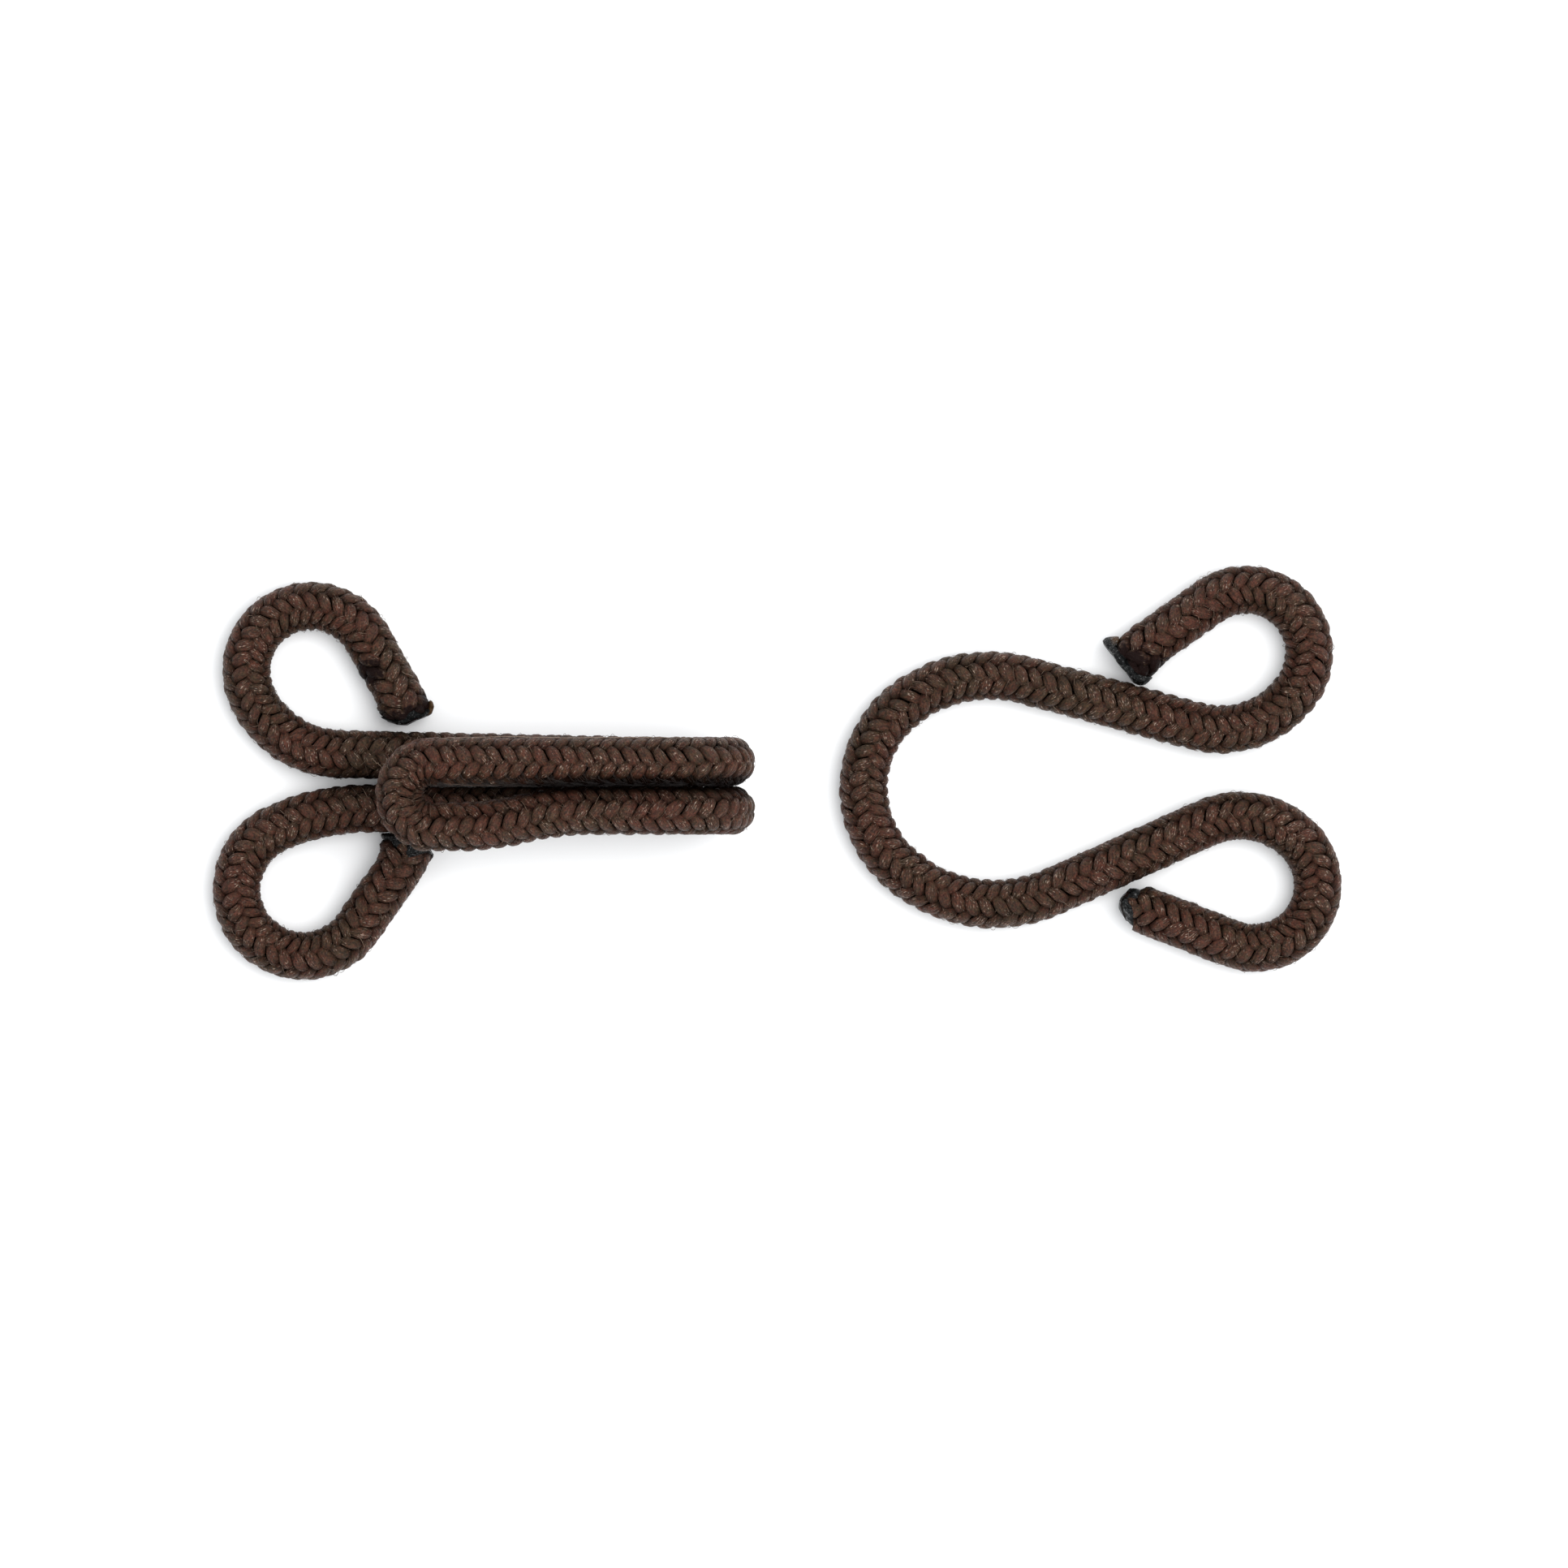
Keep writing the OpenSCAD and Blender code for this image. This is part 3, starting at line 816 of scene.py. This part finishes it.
# Each seal: node, half, end, outline, reach of its fin and roughness as shares of the radius,
# how much melted skin shines on it, and seed
SEALS = [
    ("hook_seal_upper", "hook", 0, DRAWN_UP, 0.0, 0.04, 0.35, 3),
    ("hook_seal_lower", "hook", 1, DRAWN_UP, 0.0, 0.09, 0.9, 4),
    ("eye_seal_upper", "eye", 0, PRESSED_FLAT, 0.26, 0.05, 0.9, 5),
    ("eye_seal_lower", "eye", 1, DRAWN_UP, 0.0, 0.12, 0.9, 6),
]
# Lip of melted fibre at the hook's upper end, in millimetres: places past the tip, to the left
# and up, and its half thickness and half height
LIP_PATH = [(0.24, 0.7, 0.3), (0.22, 1.1, 0.35), (-0.03, 1.38, 0.4), (-0.43, 1.5, 0.45)]
LIP_HALF_T = 0.17
LIP_HALF_H = 0.42
LIP_RINGS = 16
LIP_SIDES = 12
LIP_SKIN = 0.3


def seal(name, cord, which, outline, fin, rough, skin, seed, material):
    """A melted end: the outline turned about the leg and stretched to the length of the cap. Its
    rim is drawn out into a fin on the right by a bell curve of the angle, which fades backward.
    Then come lumps, dents, and the width and slant of that end."""
    end = cord["ends"][which]
    past, share = (np.array(column) for column in zip(*outline))
    steps = np.linspace(0, len(outline) - 1, SEAL_RINGS)
    back = np.interp(steps, np.arange(len(outline)), past)[:, None]
    radius = np.interp(steps, np.arange(len(outline)), share)[:, None] * CORD_R
    angle = np.linspace(0, 2 * math.pi, SEAL_SIDES, endpoint=False)[None, :]
    bell = np.exp(-((angle - math.pi) / FIN_ANGLE) ** 2)
    drawn = fin * bell * smooth(radius / CORD_R, 0.5, 1.0)
    drawn = drawn * np.clip(1.3 * (1 + back), 0, 1)
    # Lumps: seven waves round the leg, which drift as they go along it
    dice = np.random.default_rng(seed).uniform(-1, 1, (7, 2))
    lumps = sum(
        np.sin(angle * k + math.pi * start + 0.6 * slope * steps[:, None])
        for k, (start, slope) in enumerate(dice, 2)
    ) / 4
    radius = radius * (1 + drawn + rough * lumps * smooth(radius / CORD_R, 0.05, 0.6))
    across, up = radius * np.cos(angle), radius * np.sin(angle)
    place, length = in_metres(end["cap"])
    # Dents along the leg, 2 mm apart across it and up it
    dents = 0.5 * rough * CORD_R * np.sin(across * 3.1 / MM + seed) * np.cos(up * 2.7 / MM)
    along = back * np.interp(across, place, length) + dents
    points = melted(end_point(end, along, across, up), cord, which * cord["along"][-1])[None]
    points[..., 2] = np.maximum(points[..., 2], LOWEST)
    brown = np.exp(-((angle - math.pi) / BROWN_ANGLE) ** 2) * np.sign(fin)
    char = 1 - smooth(brown, 0.3, 0.6) * smooth(-back, 0.3, 0.5)
    values = {"char": char[None], "skin": skin}
    return put_mesh(name, points, values, material, along=steps[None, :, None])


def melted_lip(name, end, material):
    """The lip beside a tip: an oval carried along the lip's path, whose size falls to nearly
    nothing at both ends by the root of one less the fourth power of the way from the middle."""
    knots = np.arange(len(LIP_PATH))
    where = np.linspace(0, len(LIP_PATH) - 1, LIP_RINGS)
    line = np.stack([np.interp(where, knots, column) for column in zip(*LIP_PATH)], 1)
    way = np.gradient(line[:, :2], axis=0)
    way /= np.linalg.norm(way, axis=1)[:, None]
    swell = np.sqrt(np.clip(1 - np.linspace(-1, 1, LIP_RINGS) ** 4, 0.001, 1))[:, None]
    angle = np.linspace(0, 2 * math.pi, LIP_SIDES, endpoint=False)[None, :]
    aside = LIP_HALF_T * swell * np.cos(angle)
    along = line[:, 0:1] - way[:, 1:2] * aside
    across = line[:, 1:2] + way[:, 0:1] * aside
    up = line[:, 2:3] + LIP_HALF_H * swell * np.sin(angle)
    points = end_point(end, along * MM, across * MM, up * MM)[None]
    return put_mesh(name, points, {"char": 0.0, "skin": LIP_SKIN}, material)


def linear(code):
    """A colour in linear light from its sRGB hex code."""
    parts = [int(code[k:k + 2], 16) / 255 for k in (1, 3, 5)]
    return [x / 12.92 if x <= 0.04045 else ((x + 0.055) / 1.055) ** 2.4 for x in parts] + [1.0]


def add(tree, kind, inputs=None, **settings):
    """Adds a shader node with its settings, and gives its inputs values or other nodes' outputs."""
    made = tree.nodes.new("ShaderNode" + kind)
    for key, value in settings.items():
        setattr(made, key, value)
    for key, value in (inputs or {}).items():
        if isinstance(value, bpy.types.NodeSocket):
            tree.links.new(value, made.inputs[key])
        else:
            made.inputs[key].default_value = value
    return made


# A mix node's two colours and the mixed one, by their place among its sockets
MIX_A, MIX_B, MIX_OUT = 6, 7, 2


def held(tree, name):
    """The number that the points of a piece hold under a name."""
    return add(tree, "Attribute", attribute_name=name).outputs["Fac"]


def noise(tree, place, size, detail, **more):
    """Noise in grains of a size, with more inputs by name."""
    inputs = {"Vector": place, "Scale": 1 / size, "Detail": detail, **more}
    return add(tree, "TexNoise", inputs).outputs[0]


def maths(tree, operation, *values):
    """What a maths node makes of the values."""
    return add(tree, "Math", dict(enumerate(values)), operation=operation).outputs[0]


def ramp(tree, value, low, high, first=0.0, last=1.0):
    """A number that goes from first to last while the value goes from low to high."""
    return add(tree, "MapRange", {
        "Value": value, "From Min": low, "From Max": high, "To Min": first, "To Max": last,
    }).outputs[0]


def mixed(tree, share, first, last, **settings):
    """Two colours mixed, by the share of the last."""
    inputs = {"Factor": share, MIX_A: first, MIX_B: last}
    return add(tree, "Mix", inputs, data_type="RGBA", **settings).outputs[MIX_OUT]


def new_material(name):
    """An empty material and its node tree."""
    material = bpy.data.materials.new(name)
    material.use_nodes = True
    tree = material.node_tree
    tree.nodes.clear()
    return material, tree


def finished(material, inputs):
    """A material, given its output and a shader with the inputs."""
    shader = add(material.node_tree, "BsdfPrincipled", inputs)
    add(material.node_tree, "OutputMaterial", {"Surface": shader.outputs[0]})
    return material


def polyester_yarn():
    """Braid of melt-spun polyester multifilament yarn with a dark brown dye: each strand is a
    bundle of smooth filaments, so it has streaks along it and a soft shine, and its colour wanders
    between an olive and a red brown. Its small glints are painted highlights, and the feet of
    its stitches and the gaps between cords are painted shade."""
    material, tree = new_material("braided_polyester_yarn")
    uv = add(tree, "UVMap", uv_map="strand").outputs["UV"]
    place = add(tree, "TexCoord").outputs["Object"]
    tone, rise, burn, painted_gap_shade = (held(tree, key) for key in ("tone", "rise", "burn", "painted_gap_shade"))
    # Bundles of filaments, 0.15 mm apart and finer: single ones, of 0.02 mm, are too fine to show
    bundles = add(tree, "Mapping", {"Vector": uv, "Scale": (13.0, 2.4, 1.0)}).outputs[0]
    streak = noise(tree, bundles, 1.0, 4.0, Roughness=0.65, Distortion=0.6)
    # Dye: specks of 0.12 mm, patches of 0.3 mm, and drifts of 4 mm along the cord
    speck, patch, drift = (
        noise(tree, place, size, detail)
        for size, detail in ((0.12 * MM, 3.0), (0.3 * MM, 2.0), (4 * MM, 1.0))
    )
    stitch_red = maths(tree, "MULTIPLY_ADD", tone, 0.08, -0.04)
    patch_red = maths(tree, "ADD", patch, stitch_red)
    redness = maths(tree, "MULTIPLY_ADD", drift, 0.6, patch_red)
    dye = mixed(tree, ramp(tree, redness, 0.6, 1.0), linear("#322417"), linear("#3f2117"))
    # Streaks and specks make the dye lighter and darker; the feet of stitches and the gaps between
    # cords get painted shade, darker than the scene's light makes them
    light = ramp(tree, streak, 0.35, 0.65, 0.58, 1.42)
    grain = ramp(tree, speck, 0.35, 0.65, 0.55, 1.45)
    raised = ramp(tree, rise, 0.42, 0.98, 0.05, 1.2)
    open_air = ramp(tree, painted_gap_shade, 0.0, 1.0, 1.0, 0.06)
    depth = maths(tree, "MULTIPLY", raised, open_air)
    shade = maths(tree, "MULTIPLY", maths(tree, "MULTIPLY", light, depth), grain)
    dye_and_painted_shade = mixed(tree, 1.0, dye, shade, blend_type="MULTIPLY")
    # Painted highlights: pale glints painted into the colour for short stretches of filament that
    # stand a little off the strand, in flocks of 0.8 mm
    short = add(tree, "Mapping", {"Vector": uv, "Scale": (30.0, 4.0, 1.0)}).outputs[0]
    spark = ramp(tree, noise(tree, short, 1.0, 1.0), 0.6, 0.74, 0.0, 0.9)
    flock = ramp(tree, noise(tree, place, 0.8 * MM, 1.0), 0.42, 0.62)
    glint = maths(tree, "MULTIPLY", maths(tree, "MULTIPLY", spark, depth), flock)
    painted_glints = mixed(tree, glint, dye_and_painted_shade, linear("#a89484"))
    # Char comes in spots, closer together towards the tip
    spots = ramp(tree, maths(tree, "MULTIPLY_ADD", patch, 1.6, burn), 1.05, 1.5)
    charred = mixed(tree, spots, painted_glints, linear("#160a08"))
    # Char has a faint gloss, and the yarn a stronger one and a sheen, less where it lies deep
    bare = maths(tree, "MULTIPLY", depth, maths(tree, "SUBTRACT", 1.0, spots))
    char_gloss = maths(tree, "MULTIPLY", spots, 0.07)
    relief = maths(tree, "MULTIPLY_ADD", speck, 0.5, streak)
    bump = add(tree, "Bump", {"Height": relief, "Distance": 0.17 * MM})
    return finished(material, {
        "Base Color": charred, "IOR": 1.5, "Normal": bump.outputs[0],
        "Roughness": ramp(tree, streak, 0.3, 0.7, 0.55, 0.36),
        "Specular IOR Level": maths(tree, "MULTIPLY_ADD", bare, 0.15, char_gloss),
        "Sheen Weight": maths(tree, "MULTIPLY", bare, 0.08), "Sheen Roughness": 0.4,
        "Sheen Tint": linear("#a08470"),
    })


def loose_filament():
    """Single filament of the same polyester, lying free of its bundle: it shines, and its colour is
    paler than the yarn's, partly as a thin filament that lets light through and partly as a painted
    highlight for the glints of loose filaments."""
    material, tree = new_material("loose_polyester_filament")
    tone, burn, painted_gap_shade = (held(tree, key) for key in ("tone", "burn", "painted_gap_shade"))
    dye = mixed(tree, tone, linear("#4a372b"), linear("#8c7664"))
    # Char, and painted shade deep in the gaps between stretches of cord, darken it
    dark = maths(tree, "MAXIMUM", burn, painted_gap_shade)
    return finished(material, {
        "Base Color": mixed(tree, dark, dye, linear("#120b09")),
        "Roughness": 0.35, "IOR": 1.5, "Specular IOR Level": 0.3,
    })


def melted_polyester():
    """Polyester that a flame melted and charred: a nearly black, glassy skin that set in lumps
    and folds, grey green where light catches it, and still brown where it is thin."""
    material, tree = new_material("melted_polyester")
    place = add(tree, "TexCoord").outputs["Object"]
    char, skin = (held(tree, key) for key in ("char", "skin"))
    lumps = noise(tree, place, 0.4 * MM, 3.0)
    dark = mixed(tree, ramp(tree, lumps, 0.4, 0.65), linear("#090909"), linear("#121414"))
    # Facets of 0.35 mm that a wet skin sets in, with ripples of 0.1 mm on them
    facets = add(tree, "TexVoronoi", {
        "Vector": place, "Scale": 1 / (0.35 * MM),
    }, feature="SMOOTH_F1").outputs["Distance"]
    ripples = noise(tree, place, 0.1 * MM, 2.0)
    relief = maths(tree, "MULTIPLY_ADD", ripples, 0.3, facets)
    bump = add(tree, "Bump", {"Height": relief, "Distance": 0.35 * MM})
    # Crests of the ripples are smooth as glass and glint
    glint = ramp(tree, ripples, 0.58, 0.68)
    wet = maths(tree, "MULTIPLY_ADD", glint, 0.9, 0.1)
    return finished(material, {
        "Base Color": mixed(tree, char, linear("#43301f"), dark),
        "Roughness": ramp(tree, lumps, 0.3, 0.7, 0.16, 0.4), "IOR": 1.57,
        "Specular IOR Level": maths(tree, "MULTIPLY", wet, skin), "Normal": bump.outputs[0],
    })


def drawn_steel():
    """Bright drawn steel wire: pulled through a die, so it has fine lines along it."""
    material, tree = new_material("drawn_steel_wire")
    place = add(tree, "TexCoord").outputs["Object"]
    # Die marks, drawn 0.05 mm apart: the real ones are finer
    marks = noise(tree, place, 0.05 * MM, 2.0)
    return finished(material, {
        "Base Color": linear("#b9b6b0"), "Metallic": 1.0,
        "Roughness": ramp(tree, marks, 0.0, 1.0, 0.25, 0.5),
    })


TABLE_SIDE = 6.0
# Colours of the table and of the walls round it, in linear light
TABLE_WHITE = (0.93, 0.93, 0.93, 1.0)
STUDIO_WHITE = (0.96, 0.98, 1.0, 1.0)
# Softbox: how far it leans from upright and to which side, its distance, width and watts
KEY_TILT = math.radians(20)
KEY_TURN = math.radians(8)
KEY_DISTANCE = 1.0
KEY_WIDTH = 0.9
KEY_WATTS = 9.0


def put_table():
    """A matt white sheet that both halves lie on: it gives back nearly all light and no shine."""
    half = TABLE_SIDE / 2
    corners = [(-half, -half, 0), (half, -half, 0), (half, half, 0), (-half, half, 0)]
    mesh = bpy.data.meshes.new("table")
    mesh.from_pydata(corners, [], [(0, 1, 2, 3)])
    floor = bpy.data.objects.new("table", mesh)
    bpy.context.scene.collection.objects.link(floor)
    mesh.materials.append(finished(new_material("white_table")[0], {
        "Base Color": TABLE_WHITE, "Roughness": 0.9, "Specular IOR Level": 0.0,
    }))


def light_studio():
    """White walls all round, and a round softbox nearly overhead."""
    world = bpy.data.worlds.new("studio")
    world.use_nodes = True
    world.node_tree.nodes["Background"].inputs["Color"].default_value = STUDIO_WHITE
    bpy.context.scene.world = world
    data = bpy.data.lights.new("softbox", "AREA")
    data.shape = "DISK"
    data.size = KEY_WIDTH
    data.energy = KEY_WATTS
    key = bpy.data.objects.new("softbox", data)
    key.location = (
        KEY_DISTANCE * math.sin(KEY_TILT) * math.cos(KEY_TURN),
        KEY_DISTANCE * math.sin(KEY_TILT) * math.sin(KEY_TURN),
        KEY_DISTANCE * math.cos(KEY_TILT),
    )
    key.rotation_euler = (0, KEY_TILT, KEY_TURN)
    bpy.context.scene.collection.objects.link(key)


hook_at, eye_at = middle_of_pair()
# Each cord runs from its upper cut end to its lower one
CORDS = {
    "hook": cord_along(np.concatenate([
        flat_stations(flat_line(HOOK_UPPER, HOOK_UPPER_START), CORD_R, -1, 1)[::-1],
        lift_stations(CORD_PITCH / 2, 1),
        bill_stations(),
        lift_stations(-CORD_PITCH / 2, -1)[::-1],
        flat_stations(flat_line(HOOK_LOWER, HOOK_LOWER_START), CORD_R, 1, 1),
    ]), hook_at, 1, (HOOK_UPPER_END, HOOK_LOWER_END), HOOK_TWISTS),
    "eye": cord_along(np.concatenate([
        flat_stations(flat_line(EYE_UPPER, EYE_TIP), CORD_R, -1, 1)[::-1],
        flat_stations(flat_line(EYE_LOWER, EYE_BACK), CORD_R, 1, 1)[1:],
    ]), eye_at, 2, (EYE_UPPER_END, EYE_LOWER_END), EYE_TWISTS),
}

yarn = polyester_yarn()
filament = loose_filament()
melt = melted_polyester()
steel = drawn_steel()

for name, cord in CORDS.items():
    length = cord["along"][-1] / MM
    covering = [
        braid_lay(f"{name}_braid_right", cord, 1, yarn),
        braid_lay(f"{name}_braid_left", cord, -1, yarn),
        lining(f"{name}_lining", cord, yarn),
    ]
    loose = fuzz(
        f"{name}_fuzz", cord, number=int(length * FUZZ_PER_MM),
        stretch=(FUZZ_CLEAR[0], length - FUZZ_CLEAR[1]), angles=(0, 360), lengths=FUZZ_L,
        heading=1.0, shade=0.0, material=filament,
    )
    for piece in covering:
        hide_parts(f"{name}_sleeve")
    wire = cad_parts[f"{name}_wire"]
    wire.data.materials.clear()
    wire.data.materials.append(steel)

# Painted shade: dark filaments that fill the valley between the bill's two cords
matted = fuzz(
    "bill_matted_filaments_painted_shade", CORDS["hook"], number=MATTED_NUMBER, stretch=MATTED,
    angles=MATTED_ANGLES, lengths=MATTED_L, heading=MATTED_HEADING, shade=MATTED_SHADE,
    material=filament,
)

for name, first, last, angles, lifts, pale in STRAYS:
    piece = stray(name, CORDS["hook"], first, last, angles, lifts, pale, filament)

for node, half, which, outline, fin, rough, skin, seed in SEALS:
    piece = seal(f"{node}_melt", CORDS[half], which, outline, fin, rough, skin, seed, melt)
    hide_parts(node)

lip = melted_lip("hook_seal_upper_lip", CORDS["hook"]["ends"][0], melt)

put_table()
light_studio()
bpy.context.scene.view_settings.view_transform = "Standard"
